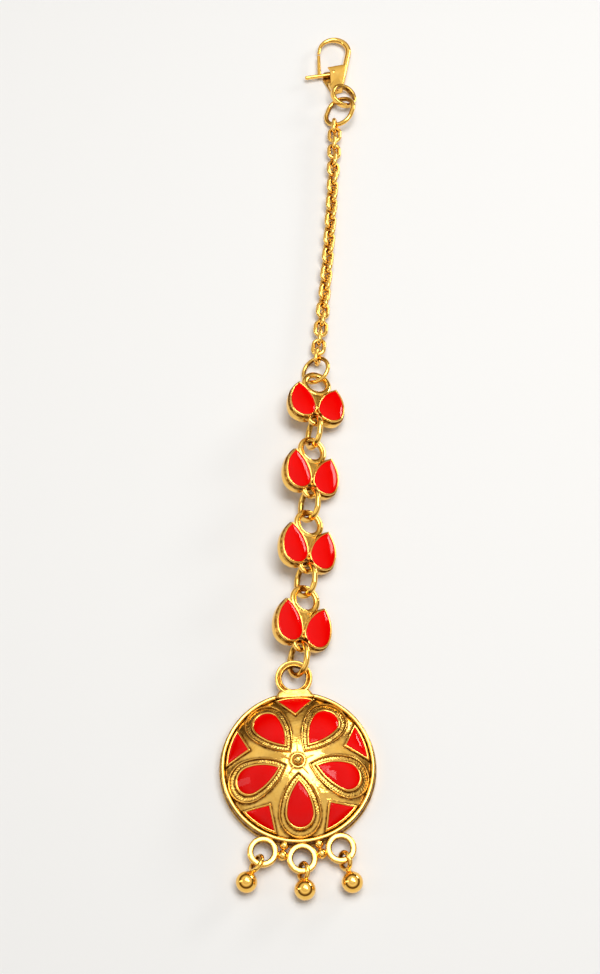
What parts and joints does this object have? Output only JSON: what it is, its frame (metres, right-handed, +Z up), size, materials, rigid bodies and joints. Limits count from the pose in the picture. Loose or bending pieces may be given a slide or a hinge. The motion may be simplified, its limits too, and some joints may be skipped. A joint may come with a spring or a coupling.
{
  "type": "maang tikka",
  "caption": "Gold head jewel laid straight: trigger clasp, cable chain, red enamelled leaf links on wire rings, and a domed round pendant with petals and ball drops.",
  "frame": {"origin": "centre of the pendant's flat back, on the surface the jewel lies on", "axes": "+Y from the pendant towards the clasp, +X to the right seen from above, +Z up from the surface, out of the pendant's front"},
  "size_m": [0.03, 0.2016, 0.008],
  "materials": {
    "gold": "polished yellow gold plating",
    "red_enamel": "glossy opaque red"
  },
  "bodies": {
    "jewel": {"clasp_body": "gold", "clasp_ring": "gold", "chain": "gold", "top_ring": "gold", "pendant_disc": "gold", "leaf_link_1": "gold", "leaf_link_2": "gold", "leaf_link_3": "gold", "leaf_link_4": "gold", "leaf_enamel_1_left": "red_enamel", "leaf_enamel_1_right": "red_enamel", "leaf_enamel_2_left": "red_enamel", "leaf_enamel_2_right": "red_enamel", "leaf_enamel_3_left": "red_enamel", "leaf_enamel_3_right": "red_enamel", "leaf_enamel_4_left": "red_enamel", "leaf_enamel_4_right": "red_enamel", "connector_ring_1": "gold", "connector_ring_2": "gold", "connector_ring_3": "gold", "connector_ring_4": "gold", "petal_enamel_1": "red_enamel", "petal_enamel_2": "red_enamel", "petal_enamel_3": "red_enamel", "petal_enamel_4": "red_enamel", "petal_enamel_5": "red_enamel", "corner_enamel_1": "red_enamel", "corner_enamel_2": "red_enamel", "corner_enamel_3": "red_enamel", "corner_enamel_4": "red_enamel", "corner_enamel_5": "red_enamel", "drop_1": "gold", "drop_2": "gold", "drop_3": "gold"},
    "lever": {"clasp_lever": "gold"}
  },
  "joints": [
    {"name": "clasp_lever_hinge", "type": "hinge", "parent": "jewel", "child": "lever", "pos_m": [0.00815, 0.16565, 0.00125], "axis": [0, 0, 1], "range_deg": [-25, 0], "stiffness_Nm_per_rad": 0.002, "springref_deg": 17.19}
  ]
}
